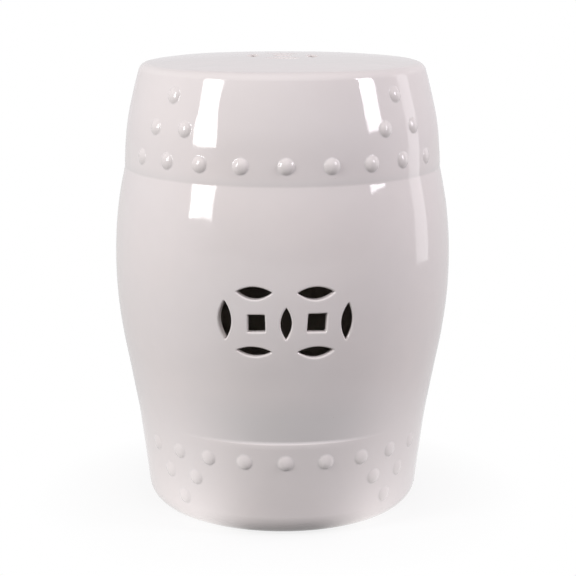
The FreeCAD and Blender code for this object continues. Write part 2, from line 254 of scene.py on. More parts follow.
class Shell:
    """A closed mesh: places, faces with a normal at every corner, and the faces' finish."""

    def __init__(self):
        self.places = []
        self.pooling_and_shade = []
        self.faces = []
        self.normals = []
        self.finishes = []
        self.count = 0

    def add_places(self, places, pooling_and_shade=0.0):
        """Adds places and how thick the glaze pooled there, which also holds painted shade above zero and
        painted light below it, and returns their numbers.
        """
        numbers = np.arange(self.count, self.count + len(places))
        self.places.append(places)
        self.pooling_and_shade.append(np.broadcast_to(pooling_and_shade, len(places)))
        self.count += len(places)
        return numbers

    def add_faces(self, corners, normals, finish):
        self.faces += corners.tolist()
        self.normals.append(normals.reshape(-1, 3))
        self.finishes += [finish] * len(corners)

    def add_strip(self, first, second, first_normals, second_normals, finish, keep=None):
        """Closed strip of quads between two rings, with the second on the left."""
        corners = np.stack([first, np.roll(first, -1), np.roll(second, -1), second], axis=1)
        normals = np.stack([first_normals, np.roll(first_normals, -1, axis=0),
                            np.roll(second_normals, -1, axis=0), second_normals], axis=1)
        if keep is not None:
            corners, normals = corners[keep], normals[keep]
        self.add_faces(corners, normals, finish)

    def add_fan(self, middle, ring, middle_normal, ring_normals, finish):
        """Triangles from one place to a ring."""
        corners = np.stack([np.full(len(ring), middle), ring, np.roll(ring, -1)], axis=1)
        tips = np.broadcast_to(middle_normal, ring_normals.shape)
        normals = np.stack([tips, ring_normals, np.roll(ring_normals, -1, axis=0)], axis=1)
        self.add_faces(corners, normals, finish)

    def build(self, name, node):
        """Makes the object, which stands for a node of the construction."""
        mesh = bpy.data.meshes.new(name)
        mesh.from_pydata(np.concatenate(self.places).tolist(), [], self.faces)
        mesh.polygons.foreach_set("material_index", self.finishes)
        mesh.polygons.foreach_set("use_smooth", [True] * len(self.faces))
        # pooled and thin glaze, and with it painted shade above zero and painted light below zero, for the
        # glaze material
        pooling_and_shade = mesh.attributes.new("pooling_and_shade", "FLOAT", "POINT")
        pooling_and_shade.data.foreach_set("value", np.concatenate(self.pooling_and_shade).astype(np.float32))
        mesh.normals_split_custom_set(np.concatenate(self.normals).tolist())
        mesh.materials.append(glaze)
        mesh.materials.append(bare_clay)
        piece = put_in_scene(name, mesh)
        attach(piece, "root")
        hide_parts(node)


def put_in_scene(name, data):
    added = bpy.data.objects.new(name, data)
    bpy.context.scene.collection.objects.link(added)
    return added


# Outlines in the plane through the axis. Each row is radius, height, normal and pooling, which also holds
# painted shade and painted light
def curve(centre, radius, start, end, step=None, count=2, pooling_and_shade=0.0):
    """Arc between two directions of its normal. A radius below zero makes it hollow."""
    if step:
        count = max(2, math.ceil(abs(radius * (end - start)) / step) + 1)
    angles = np.linspace(start, end, count)
    return np.stack([centre[0] + radius * np.cos(angles), centre[1] + radius * np.sin(angles),
                     np.cos(angles), np.sin(angles), np.full(count, pooling_and_shade)], axis=1)


def straight(start, end):
    """Rows between two that share a normal, without the two ends."""
    count = max(2, math.ceil((end - start)[1] / coarse_step) + 1)
    share = np.linspace(0, 1, count)[1:-1, None]
    rows = start + (end - start) * share
    rows[:, 4] = 0
    return rows


def join(*runs):
    """Runs of rows end to end, with each shared end kept once."""
    rows = [runs[0]]
    for run in runs[1:]:
        repeated = np.hypot(*(run[0] - rows[-1][-1])[:2]) < 1e-7
        rows.append(run[1:] if repeated else run)
    return np.concatenate(rows)


def edge_of_band(radius_at, crest_round, fillet, fillet_z, far, pinch=0.0):
    """Centres of a band edge's round, searched between the fillet's level and far, and of the
    fillet that joins it to the belly."""
    crease = np.array([belly_radius_at(fillet_z, -fillet) - pinch, fillet_z])
    near = fillet_z
    for _ in range(50):
        middle = (near + far) / 2
        crest = np.array([radius_at(middle, crest_round), middle])
        if np.hypot(*(crest - crease)) < crest_round + fillet:
            near = middle
        else:
            far = middle
    return crest, crease


def direction(start, end):
    return math.atan2(end[1] - start[1], end[0] - start[0])


def right_of(along):
    """Unit directions to the right of those given."""
    return unit(np.stack([along[:, 1], -along[:, 0]], axis=1))


def leaning_rows(radii, heights, slopes, pooling_and_shade):
    """Rows whose radius grows with height by the slopes."""
    leans = np.arctan(slopes)
    return np.stack([radii, heights, np.cos(leans), -np.sin(leans), pooling_and_shade], axis=1)


def make_ledge():
    """Rows of the lower band's rounded top, with painted light on its edge, and of the pinched belly above
    it, with painted shade in the crease and on its lower half.
    """
    fillet_z = lower_joint + lower_crease_fillet / 2 - ledge_drop
    crest, crease = edge_of_band(lower_crown_at, lower_crest_round, lower_crease_fillet, fillet_z,
                                 fillet_z - crest_search, pinch_depth)
    crown_end = direction(ease_centre, crest)
    crest_turn = direction(crest, crease)
    # the ledge's rounded edge is painted lighter: thin glaze and painted light
    band_top = join(curve(ease_centre, lower_ease_curve, -lower_lean, crown_end, count=9),
                    curve(crest, lower_crest_round, crown_end, crest_turn, count=12, pooling_and_shade=thinned_and_lit))
    pinch_top = lower_joint + pinch_height
    heights = np.linspace(crease[1] + lower_crease_fillet * math.sin(flank_lean), pinch_top, 12)
    share = (pinch_top - heights) / pinch_height
    radii = belly_radius_at(heights) - pinch_depth * share ** 2
    slopes = math.tan(flank_lean) + 2 * pinch_depth * share / pinch_height
    # the lower half of the pinched belly is painted darker: pooled glaze and painted shade above the ledge
    pinched = leaning_rows(radii, heights, slopes, np.minimum(2 * share, 1))
    crease_end = -math.atan(slopes[0])
    # painted shade in the crease between the ledge and the belly, with the pooled glaze
    crease_rows = curve(crease, -lower_crease_fillet, crest_turn, crease_end, count=5, pooling_and_shade=1.0)
    return band_top, np.concatenate([crease_rows[:-1], pinched])


def side_band_at(z):
    """The lower band at the sides, where its top is sunk flush with the belly."""
    foot_radius = lower_radius_at(foot_top)
    share = (z - foot_top) / (lower_joint - foot_top)
    return foot_radius + (belly_radius_at(lower_joint) - foot_radius) * share


def smooth_side(rows):
    """The rows as the smooth hollow that stands for the ledge at the sides."""
    start = lower_joint - side_hollow_height / 2
    into = np.clip(rows[:, 1] - start, 0, side_hollow_height)
    band_slope = (side_band_at(lower_joint) - side_band_at(lower_joint - mm)) / mm
    turn = math.tan(flank_lean) - band_slope
    above = np.maximum(rows[:, 1] - start - side_hollow_height, 0)
    radii = side_band_at(rows[:, 1]) + turn * (into ** 2 / (2 * side_hollow_height) + above)
    slopes = band_slope + turn * into / side_hollow_height
    return leaning_rows(radii, rows[:, 1], slopes, np.zeros(len(rows)))


upper_edge, upper_tuck = edge_of_band(upper_radius_at, upper_edge_round, upper_crease_fillet,
                                      upper_joint - upper_crease_fillet / 4, upper_joint + 30 * mm)


def upper_skin_at(z):
    """The upper drum, with the part that turns in above the joint."""
    turned = upper_edge[0] + np.sqrt(upper_edge_round ** 2 - np.minimum(z - upper_edge[1], 0) ** 2)
    return np.minimum(turned, upper_radius_at(z))


def make_outlines():
    """Outside rows of the foot ring, lower drum, belly, upper drum and seat, upwards. The lower
    drum and the belly have rows for the front and back, and rows for the sides."""
    corner = curve(corner_centre, foot_corner, -math.pi / 2, -lower_lean, corner_step)
    foot_end = corner[-1].copy()
    foot_end[:2] = lower_radius_at(foot_top), foot_top
    foot = join(corner, foot_end[None])

    ledge = make_ledge()
    ledges = [ledge, [smooth_side(rows) for rows in ledge]]
    lower = [join(foot_end[None], straight(foot_end, band_top[0]), band_top)
             for band_top, _ in ledges]

    tuck_start = direction(belly_centre, upper_tuck)
    tuck_end = direction(upper_tuck, upper_edge) - math.pi
    window_angles = [math.asin((z - belly_widest) / belly_curve) for z in (window_low, window_high)]
    barrel_rows = [curve(belly_centre, belly_curve, start, end, coarse_step)
                   for start, end in zip([-flank_lean] + window_angles, window_angles + [tuck_start])]
    # the crease under the upper band carries a little painted shade
    belly = [join(pinched, straight(pinched[-1], barrel_rows[0][0]), *barrel_rows,
                  curve(upper_tuck, -upper_crease_fillet, tuck_start, tuck_end, fine_step, pooling_and_shade=0.1))
             for _, pinched in ledges]

    edge_end = direction(upper_centre, upper_edge)
    skirt = curve(upper_edge, upper_edge_round, tuck_end, edge_end, round_step)
    # painted shade under the upper band where it turns in, strongest at its lowest row, with pooled glaze
    skirt[:, 4] = skirt_pooling_and_shade * np.linspace(1, 0, len(skirt)) ** 1.5
    rim_start = math.pi / 2 - rim_slope
    # the seat's rounded shoulder gets thin glaze and painted light
    upper = join(skirt, curve(upper_centre, upper_curve, edge_end, shoulder_angle, coarse_step),
                 curve(shoulder_centre, shoulder_round, shoulder_angle, rim_start, round_step,
                       pooling_and_shade=thinned_and_lit))
    crown_end = math.acos(seat_window / crown_radius)
    seat = curve((0, crown_centre_z), crown_radius, rim_start, crown_end, coarse_step)
    return foot, lower, belly, upper, seat


sharpest_bend = math.radians(35)


def corner_normals(points):
    """Normals at both ends of each segment of a polyline, shared where it bends little."""
    normals = right_of(np.diff(points, axis=0))
    starts, ends = normals.copy(), normals.copy()
    gentle = (normals[:-1] * normals[1:]).sum(axis=1) > math.cos(sharpest_bend)
    shared = unit(normals[:-1] + normals[1:])
    starts[1:][gentle] = shared[gentle]
    ends[:-1][gentle] = shared[gentle]
    return starts, ends


facet_angles = np.arange(around) * 2 * math.pi / around
sideness = smooth_share((abs(np.sin(facet_angles)) - ledge_front) / (ledge_side - ledge_front))[:, None]


def ring_of(across, upwards):
    """The same place or normal at every facet."""
    return round_axis(np.full(around, across), np.full(around, upwards), facet_angles)


def turned_shell(outside, inside, side_rows=None, windows=()):
    """Solid of revolution: glazed outside rows, and bare inside points back to the start. The
    outside turns into side_rows at the sides. Windows, as rows and columns, stay open. Returns
    the shell and its numbers, row by row."""
    shell = Shell()
    numbers = []
    outside_normals = []
    for front, side in zip(outside, outside if side_rows is None else side_rows):
        radii, heights, across, upwards, pooling_and_shade = (front + (side - front) * sideness).T
        normals = unit(round_axis(across, upwards, facet_angles))
        places, normals = uneven(round_axis(radii, heights, facet_angles), normals)
        numbers.append(shell.add_places(places, pooling_and_shade))
        outside_normals.append(normals)
    numbers = np.array(numbers + [shell.add_places(ring_of(*point)) for point in inside])
    closed = np.ones(numbers.shape, bool)
    for rows, columns in windows:
        closed[np.ix_(rows, columns)] = False
    for row, normals in enumerate(zip(outside_normals, outside_normals[1:])):
        shell.add_strip(numbers[row], numbers[row + 1], *normals, glazed, closed[row])
    path = np.concatenate([outside[-1:, :2], inside, outside[:1, :2]])
    for row, (start, end) in enumerate(zip(*corner_normals(path)), len(outside) - 1):
        following = numbers[(row + 1) % len(numbers)]
        shell.add_strip(numbers[row], following, ring_of(*start), ring_of(*end), bare, closed[row])
    return shell, numbers


# Cuts through a wall
def cut_outline(corners, bulges):
    """Softened anticlockwise outline through the corners, whose sides bow out by their bulges, and
    its directions away from the hole."""
    share = np.linspace(0, 1, 200, endpoint=False)
    dense = []
    for start, end, bulge in zip(corners, np.roll(corners, -1, axis=0), bulges):
        start, end = complex(*start), complex(*end)
        outwards = -1j * (end - start) / abs(end - start)
        dense.append(start + (end - start) * share + 4 * bulge * share * (1 - share) * outwards)
    dense = np.concatenate(dense)
    lengths = np.concatenate([[0], np.cumsum(abs(np.diff(np.append(dense, dense[0]))))])
    count = round(lengths[-1] / cut_step)
    wanted = np.arange(count) * lengths[-1] / count
    loop = np.interp(wanted, lengths, np.append(dense, dense[0]))
    turns = 2 * math.pi * np.fft.fftfreq(count, lengths[-1] / count)
    spectrum = np.fft.fft(loop) * np.exp(-(turns * cut_softness) ** 2 / 2)
    loop = np.fft.ifft(spectrum)
    away = -1j * np.fft.ifft(1j * turns * spectrum)
    away /= abs(away)
    return [np.stack([values.real, values.imag], axis=1) for values in (loop, away)]


guard_offsets = (2.6 * mm, 1.1 * mm)      # rings of even quads round each cut
rim_turns = np.radians(np.linspace(0, 90, 8))
least_gap = 0.55                          # between a panel's points and its edges, in spacings


def rim_rings(skin, loop, away, radius):
    """Rings from the skin round a cut, at turn 0, to where the rounded edge faces the hole."""
    rings = [(*skin(loop + away * (radius + extra)), 0.0) for extra in guard_offsets]
    for turn in rim_turns:
        offset = radius * (1 - math.sin(turn))
        base, normals = skin(loop + away * offset)
        beside, _ = skin(loop + away * (offset + 2 * probe))
        places = base - normals * radius * (1 - math.cos(turn))
        tilted = unit(normals * math.cos(turn) - unit(beside - base) * math.sin(turn))
        # towards the hole the rounded edge gets thinner glaze and more painted light
        rings.append((places, tilted, -math.sin(turn)))
    return rings


def pierce(shell, outer_skin, inner_skin, loop, away, inner_loop):
    """Rims and wall of one cut. Returns the outermost ring on each skin."""
    inner_away = right_of(np.roll(inner_loop, -1, axis=0) - np.roll(inner_loop, 1, axis=0))
    outer = rim_rings(outer_skin, loop, away, cut_rim_round)
    inner = rim_rings(inner_skin, inner_loop, inner_away, inner_rim_round)[::-1]
    throat_depths = np.linspace(0, 1, 7)[1:-1]
    across = inner[0][0] - outer[-1][0]
    throat_normals = unit(outer[-1][1] + inner[0][1])
    throat = [(outer[-1][0] + across * depth, throat_normals, 0.0) for depth in throat_depths]
    rings = outer + throat + inner
    numbers = [shell.add_places(places, pooling_and_shade) for places, _, pooling_and_shade in rings]
    last_glazed = len(outer) + len(throat)
    for index in range(len(rings) - 1):
        finish = glazed if index < last_glazed else bare
        shell.add_strip(numbers[index], numbers[index + 1], rings[index][1], rings[index + 1][1], finish)
    outer_edge = loop + away * (cut_rim_round + guard_offsets[0])
    inner_edge = inner_loop + inner_away * (inner_rim_round + guard_offsets[0])
    return (outer_edge, numbers[0]), (inner_edge, numbers[-1])


def inside_loop(points, loop):
    """True for each point inside the closed loop."""
    start, end = loop, np.roll(loop, -1, axis=0)
    x, y = points[:, :1], points[:, 1:]
    crosses = (start[:, 1] > y) != (end[:, 1] > y)
    rise = np.where(end[:, 1] == start[:, 1], 1e-12, end[:, 1] - start[:, 1])
    meets = start[:, 0] + (y - start[:, 1]) * (end[:, 0] - start[:, 0]) / rise
    return (crosses & (x < meets)).sum(axis=1) % 2 == 1


def in_holes(points, holes):
    return np.any([inside_loop(points, loop) for loop in holes], axis=0)


def lattice(border, holes, spacing):
    """Even lattice inside the border, clear of it and of the holes."""
    low, high = border.min(axis=0), border.max(axis=0)
    points = []
    for row, y in enumerate(np.arange(low[1], high[1], spacing * math.sqrt(3) / 2)):
        x = np.arange(low[0] + spacing * (row % 2) / 2, high[0], spacing)
        points.append(np.stack([x, np.full(len(x), y)], axis=1))
    points = np.concatenate(points)
    keep = inside_loop(points, border) & ~in_holes(points, holes)
    for loop in [border] + holes:
        gaps = points[:, None] - loop
        keep &= np.hypot(gaps[..., 0], gaps[..., 1]).min(axis=1) > least_gap * spacing
    return points[keep]


def fill_panel(shell, skin, border_numbers, border, cuts, finish):
    """Triangles on a skin between a border and the rings round its cuts."""
    holes = [loop for loop, _ in cuts]
    free = lattice(border, holes, coarse_step)
    free_places, _ = skin(free)
    numbers = np.concatenate([border_numbers] + [ring for _, ring in cuts] + [shell.add_places(free_places)])
    points = np.concatenate([border] + holes + [free])
    edges = []
    first = 0
    for loop in [border] + holes:
        edges += [(first + index, first + (index + 1) % len(loop)) for index in range(len(loop))]
        first += len(loop)
    result = delaunay_2d_cdt([Vector(point) for point in points / mm], edges, [], 0, 1e-5)
    triangles = np.array([[result[3][corner][0] for corner in face] for face in result[2]])
    triangles = triangles[~in_holes(points[triangles].mean(axis=1), holes)]
    if finish == bare:
        triangles = triangles[:, ::-1]
    _, normals = skin(points)
    shell.add_faces(numbers[triangles], normals[triangles], finish)


def fill_window(shell, outer_skin, inner_skin, outer_border, inner_border, cuts):
    """Closes a window on both sides of a wall, and pierces its cuts."""
    outer_cuts, inner_cuts = zip(*[pierce(shell, outer_skin, inner_skin, *cut) for cut in cuts])
    fill_panel(shell, outer_skin, *outer_border, outer_cuts, glazed)
    fill_panel(shell, inner_skin, *inner_border, inner_cuts, bare)


# Cuts of the coins: corners from the coin's centre, and how far each side bows out, in millimetres
left_coin = [
    ([(-7.9, -9.1), (9.2, -8.5), (8.7, 8.0), (-7.7, 7.5)], [0.1, 0, 0.1, 0]),
    ([(-18.6, 29.4), (15.8, 29.3)], [7.1, 5.1]),
    ([(-19.4, -27.5), (15.0, -28.4)], [5.3, 4.2]),
    ([(-30.4, -17.6), (-30.4, 20.4)], [6.5, 6.4]),
]
middle_petal = ([(-0.3, -16.3), (0.1, 14.9)], [5.4, 5.4])
right_coin = [
    ([(-9.4, -8.7), (9.4, -9.3), (10.1, 8.6), (-8.2, 8.8)], [0, 0.1, 0, 0.1]),
    ([(-18.6, 28.9), (17.1, 28.8)], [7.0, 5.5]),
    ([(-18.0, -28.4), (17.8, -27.8)], [6.5, 4.4]),
]
right_petal = ([(29.8, -18.6), (31.3, 17.6)], [5.1, 6.3])
seat_coin = [
    ([(-8.0, -8.4), (8.5, -8.2), (8.2, 8.3), (-8.3, 8.1)], [0.1, 0, 0.1, 0]),
    ([(-16.6, 29.2), (17.0, 28.8)], [6.2, 5.9]),
    ([(-17.1, -28.8), (16.6, -29.2)], [6.0, 6.2]),
    ([(-29.2, -16.8), (-28.9, 16.9)], [5.8, 6.1]),
    ([(28.9, -17.0), (29.3, 16.6)], [6.1, 5.9]),
]
right_petal_frontal = 0.8        # the right petal is cut nearly straight back, not to the axis


def panel_cuts(facing, mirrored):
    """Every cut of two linked coins: its outline on the unrolled wall, its directions away from the
    hole, and its outline on the inside."""
    cuts = []
    for x, petals, frontal in ((-coin_spacing / 2, left_coin, 0), (0, [middle_petal], 0),
                               (coin_spacing / 2, right_coin, 0),
                               (coin_spacing / 2, [right_petal], right_petal_frontal)):
        for corners, bulges in petals:
            corners, bulges = np.array(corners) * mm + [x, 0], np.array(bulges) * mm
            if mirrored:
                corners, bulges = (corners * [-1, 1])[::-1], np.roll(bulges[::-1], -1)
            loop, away = cut_outline(corners, bulges)
            loop += [0, coin_level]
            cuts.append((loop, away, through_wall(loop, facing, frontal)))
    return cuts


def belly_skin(points, facing):
    """The belly's outside, unrolled about the middle of a coin panel."""
    return uneven(*smooth_skin(belly_radius_at, facing + points[:, 0] / belly_radius, points[:, 1]))


def belly_inside_skin(points, facing):
    angles = facing + points[:, 0] / belly_radius
    places, normals = smooth_skin(lambda z: belly_radius_at(z, wall), angles, points[:, 1])
    return places, -normals


def through_wall(loop, facing, frontal):
    """The loop carried straight through the belly's wall, to its inside."""
    places, _ = belly_skin(loop, facing)
    middle = facing + loop[:, 0].mean() / belly_radius * (1 - frontal)
    inwards = np.array([-math.sin(middle), math.cos(middle)])
    flat = places[:, :2]
    along = flat @ inwards
    radius = belly_radius_at(places[:, 2], wall)
    travel = -along - np.sqrt(along ** 2 - (flat ** 2).sum(axis=1) + radius ** 2)
    landed = flat + travel[:, None] * inwards
    angles = np.arctan2(landed[:, 0], -landed[:, 1]) - facing
    angles = (angles + math.pi) % (2 * math.pi) - math.pi
    return np.stack([angles * belly_radius, places[:, 2]], axis=1)


def window_border(numbers, rows, columns, heights):
    """Numbers and unrolled points round a window, anticlockwise from outside."""
    path = [(rows[0], column) for column in columns[:-1]]
    path += [(row, columns[-1]) for row in rows[:-1]]
    path += [(rows[-1], column) for column in columns[:0:-1]]
    path += [(row, columns[0]) for row in rows[:0:-1]]
    ring = np.array([numbers[row, column % around] for row, column in path])
    middle = (columns[0] + columns[-1]) / 2
    step = 2 * math.pi / around * belly_radius
    points = np.array([[(column - middle) * step, heights[row]] for row, column in path])
    return ring, points


def make_belly(outside, side_rows):
    levels = outside[:, 1]
    window_rows = np.flatnonzero((levels > window_low - probe) & (levels < window_high + probe))
    above_window = np.linspace(upper_joint, window_high, 14)[:-1]
    beside_window = np.linspace(window_high, window_low, 23)
    below_window = np.linspace(window_low, lower_joint, 10)[1:]
    wall_levels = np.concatenate([above_window, beside_window, below_window])
    head = [
        (upper_radius_at(upper_joint, lap_depth) - slip_gap, levels[-1]),
        (upper_radius_at(upper_lap, lap_depth) - slip_gap, upper_lap),
        (upper_radius_at(upper_lap, wall), upper_lap),
    ]
    inner_wall = np.stack([belly_radius_at(wall_levels, wall), wall_levels], axis=1)
    tail = [
        (lower_radius_at(lower_lap, wall), lower_lap),
        (lower_radius_at(lower_lap, lap_depth) - slip_gap, lower_lap),
        (lower_radius_at(lower_joint, lap_depth) - slip_gap, levels[0]),
    ]
    inside = np.concatenate([head, inner_wall, tail])
    inner_rows = len(outside) + len(head) + len(above_window) + np.arange(len(beside_window))
    panels = [np.arange(-window_facets, window_facets + 1) + turn for turn in (0, around // 2)]
    windows = [(rows[:-1], columns[:-1] % around)
               for columns in panels for rows in (window_rows, inner_rows)]
    shell, numbers = turned_shell(outside, inside, side_rows, windows)
    heights = np.concatenate([levels, inside[:, 1]])
    for columns, facing, mirrored in zip(panels, (0, math.pi), (False, True)):
        outer_skin, inner_skin = [partial(skin, facing=facing) for skin in (belly_skin, belly_inside_skin)]
        borders = [window_border(numbers, rows, columns, heights)
                   for rows in (window_rows, inner_rows[::-1])]
        fill_window(shell, outer_skin, inner_skin, *borders, panel_cuts(facing, mirrored))
    shell.build("glazed_belly", "belly_section")


# The seat
def seat_skin(points):
    heights = seat_z_at(np.hypot(points[:, 0], points[:, 1]))
    places = np.column_stack([points, heights])
    return uneven(places, unit(places - [0, 0, crown_centre_z]))


def seat_under_skin(points):
    heights = seat_z_at(np.hypot(points[:, 0], points[:, 1]), seat_thickness)
    places = np.column_stack([points, heights])
    return places, -unit(places - [0, 0, crown_centre_z])


def make_seat(outside):
    rim_radii = np.linspace(seat_window, seat_radius, 24)
    inside = np.stack([rim_radii, seat_z_at(rim_radii, seat_thickness)], axis=1)
    last = len(outside) - 1
    shell, numbers = turned_shell(outside, inside, windows=[([last], range(around))])
    border = seat_window * np.stack([np.sin(facet_angles), -np.cos(facet_angles)], axis=1)
    cuts = []
    for corners, bulges in seat_coin:
        loop, away = cut_outline(np.array(corners) * mm, np.array(bulges) * mm)
        cuts.append((loop, away, loop))
    borders = [(numbers[row], border) for row in (last, last + 1)]
    fill_window(shell, seat_skin, seat_under_skin, *borders, cuts)
    shell.build("glazed_seat_disc", "seat_disc")


# Bands and foot
def make_foot(outside):
    inner_round = foot_corner - wall
    start = math.asin((foot_lap - foot_corner) / inner_round)
    lip_outer = corner_centre[0] - foot_lip_width + foot_lip_round
    inside = np.concatenate([
        [(lower_radius_at(z, lap_depth), z) for z in (foot_top, foot_lap)],
        curve(corner_centre, inner_round, start, -math.pi / 2, count=14)[:, :2],
        curve((lip_outer, wall - foot_lip_round), foot_lip_round, math.pi / 2, math.pi, count=8)[:, :2],
        curve((lip_outer, foot_lip_round), foot_lip_round, math.pi, 3 * math.pi / 2, count=8)[:, :2],
    ])
    turned_shell(outside, inside)[0].build("glazed_foot_ring", "foot_ring")


def make_lower_drum(outside, side_rows):
    inside = np.array([
        (lower_radius_at(lower_joint, lap_depth), outside[-1, 1]),
        (lower_radius_at(lower_lap, lap_depth), lower_lap),
        (lower_radius_at(lower_lap, wall), lower_lap),
        (lower_radius_at(foot_lap, wall), foot_lap),
        (lower_radius_at(foot_lap, lap_depth) - slip_gap, foot_lap),
        (lower_radius_at(foot_top, lap_depth) - slip_gap, foot_top),
    ])
    turned_shell(outside, inside, side_rows)[0].build("glazed_lower_drum", "lower_drum_section")


def make_upper_drum(outside):
    shelf_radius = seat_radius - seat_shelf_width
    shelf_z = seat_z_at(shelf_radius, seat_thickness)
    lip_z = shelf_z - seat_shelf_thickness
    cove_z = lip_z - seat_cove_height
    cove_start = np.array([shelf_radius, lip_z])
    cove_end = np.array([upper_radius_at(cove_z, wall), cove_z])
    cove_corner = np.array([cove_end[0], lip_z])
    share = np.linspace(0, 1, 12)[:, None]
    swell = 4 * share * (1 - share) * seat_cove_fullness
    cove_line = cove_start + (cove_end - cove_start) * share
    cove = cove_line + (cove_corner - (cove_start + cove_end) / 2) * swell
    levels = np.linspace(cove_z, upper_lap, 24)[1:]
    inside = np.concatenate([
        [(seat_radius, seat_z_at(seat_radius, seat_thickness)), (shelf_radius, shelf_z)],
        cove,
        np.stack([upper_radius_at(levels, wall), levels], axis=1),
        [(upper_radius_at(upper_lap, lap_depth), upper_lap),
         (upper_radius_at(upper_joint, lap_depth), outside[0, 1])],
    ])
    turned_shell(outside, inside)[0].build("glazed_upper_drum", "upper_drum_section")


# Studs
stud_facets = 48
stud_depth = 0.8 * mm            # how far its closed back lies inside the wall
stud_stray = 0.25 * mm           # how much each differs: its place, its lean and its size
stud_lean = 0.02
stud_swell = 0.015
side_stud_height = 0.15          # share of its height that a stud would keep at the very side
stud_skirt = 0.2 * mm            # the fillet's thin edge: how far it reaches out and sinks in
stud_skirt_sink = 0.03 * mm


def stud_profile(size):
    """Rows from a stud's middle outwards: distance, height, tilt of the normal, pooling with its painted
    shade and painted light.
    """
    half, height, fillet = size["diameter"] / 2, size["height"], size["fillet"]
    dome = (half ** 2 + height ** 2) / (2 * height)
    foot = math.sqrt((dome + fillet) ** 2 - (fillet + dome - height) ** 2)
    steepest = math.asin(foot / (dome + fillet))
    # the dome is painted lighter as thin glaze with painted light, and the fillet darker as pooled glaze
    # with painted shade
    rows = [(dome * math.sin(tilt), height - dome + dome * math.cos(tilt), tilt, -stud_pooling_and_shade)
            for tilt in np.linspace(0, steepest, 13)]
    rows += [(foot - fillet * math.sin(tilt), fillet * (1 - math.cos(tilt)), tilt, stud_pooling_and_shade)
             for tilt in np.linspace(steepest, 0, 8)[1:]]
    return rows


def add_stud(shell, radius_at, angle, z, size):
    """A dome that follows the wall, each a little different, with a fillet round it."""
    slope = (radius_at(z + mm) - radius_at(z - mm)) / (2 * mm)
    upright = 1 / math.hypot(1, slope)
    radius = radius_at(z)
    shift = random.normal(size=2) * stud_stray
    lean = random.normal(size=2) * stud_lean
    swell = 1 + stud_swell * random.normal()
    droop = size["droop"] / size["height"]
    around_stud = np.arange(stud_facets) * 2 * math.pi / stud_facets
    cosines, sines = np.cos(around_stud), np.sin(around_stud)

    def wall_at(distance, lowered=0.0):
        sideways = shift[0] + distance * swell * cosines
        upwards = shift[1] + distance * swell * sines - lowered
        places, normals = uneven(*smooth_skin(radius_at, angle + sideways / radius, z + upwards * upright))
        across = np.stack([np.cos(angle) * cosines, np.sin(angle) * cosines, sines * upright], axis=1)
        across -= (across * normals).sum(axis=1)[:, None] * normals
        return places, normals, unit(across)

    rings = []
    for distance, height, tilt, pooling_and_shade in stud_profile(size):
        places, normals, across = wall_at(distance, droop * height)
        leaning = 1 + (lean[0] * cosines + lean[1] * sines) * distance / size["diameter"] * 2
        places = places + normals * (height * leaning)[:, None]
        steepness = (math.tan(tilt) / (1 + droop * math.tan(tilt) * sines))[:, None]
        rings.append((places, unit(normals + across * steepness), pooling_and_shade))
    places, normals, across = wall_at(distance + stud_skirt)
    rings.append((places - normals * stud_skirt_sink, normals, stud_pooling_and_shade))
    rings.append((places - normals * stud_depth, across, 0.0))

    tip, tip_normal = rings[0][0][:1], rings[0][1][0]
    middle = shell.add_places(tip, -stud_pooling_and_shade)[0]
    numbers = [shell.add_places(places, pooling_and_shade) for places, _, pooling_and_shade in rings[1:]]
    shell.add_fan(middle, numbers[0], tip_normal, rings[1][1], glazed)
    for index in range(1, len(rings) - 1):
        shell.add_strip(numbers[index], numbers[index - 1], rings[index + 1][1], rings[index][1], glazed)
    back = shell.add_places(tip - tip_normal * (size["height"] + stud_depth))[0]
    shell.add_fan(back, numbers[-1][::-1], -tip_normal, np.tile(-tip_normal, (stud_facets, 1)), bare)


def make_studs(node, skin_at, places, size):
    """Those towards the sides, where the mould drew past them, are lower."""
    shell = Shell()
    for angle, z in places:
        angle = math.radians(angle)
        height = size["height"] * min(1, side_stud_height + abs(math.cos(angle)))
        add_stud(shell, lambda level: skin_at(level, angle), angle, z, {**size, "height": height})
    shell.build("glazed_" + node, node)


def make_all_studs():
    def upper_wall_at(z, angle):
        return upper_skin_at(z)

    def lower_wall_at(z, angle):
        share = np.interp(angle % (2 * math.pi), facet_angles, sideness[:, 0])
        return lower_radius_at(z) + (side_band_at(z) - lower_radius_at(z)) * share

    bands = (("upper", upper_wall_at, upper_row_level, upper_peak_level, upper_stud),
             ("lower", lower_wall_at, lower_row_level, lower_peak_level, lower_stud))
    half_row = (row_stud_count - 1) / 2 * stud_step
    row_angles = np.linspace(-half_row, half_row, row_stud_count) + row_strays
    for band, skin_at, row_level, peak_level, size in bands:
        places = [(facing + angle, row_level) for facing in (0, 180) for angle in row_angles]
        make_studs(band + "_row_studs", skin_at, places, size)
        tier_level = (row_level + peak_level) / 2
        for corner, centre in triangle_angles.items():
            pair = [(centre + offset, tier_level) for offset in (-stud_step / 2, stud_step / 2)]
            make_studs(band + "_triangle_studs_" + corner, skin_at, pair + [(centre, peak_level)], size)


# Materials. Sizes are those of a texture's lumps
warm_glaze = (0.805, 0.742, 0.726)
cool_glaze = (0.792, 0.742, 0.734)
dull_glaze = (0.780, 0.726, 0.714)
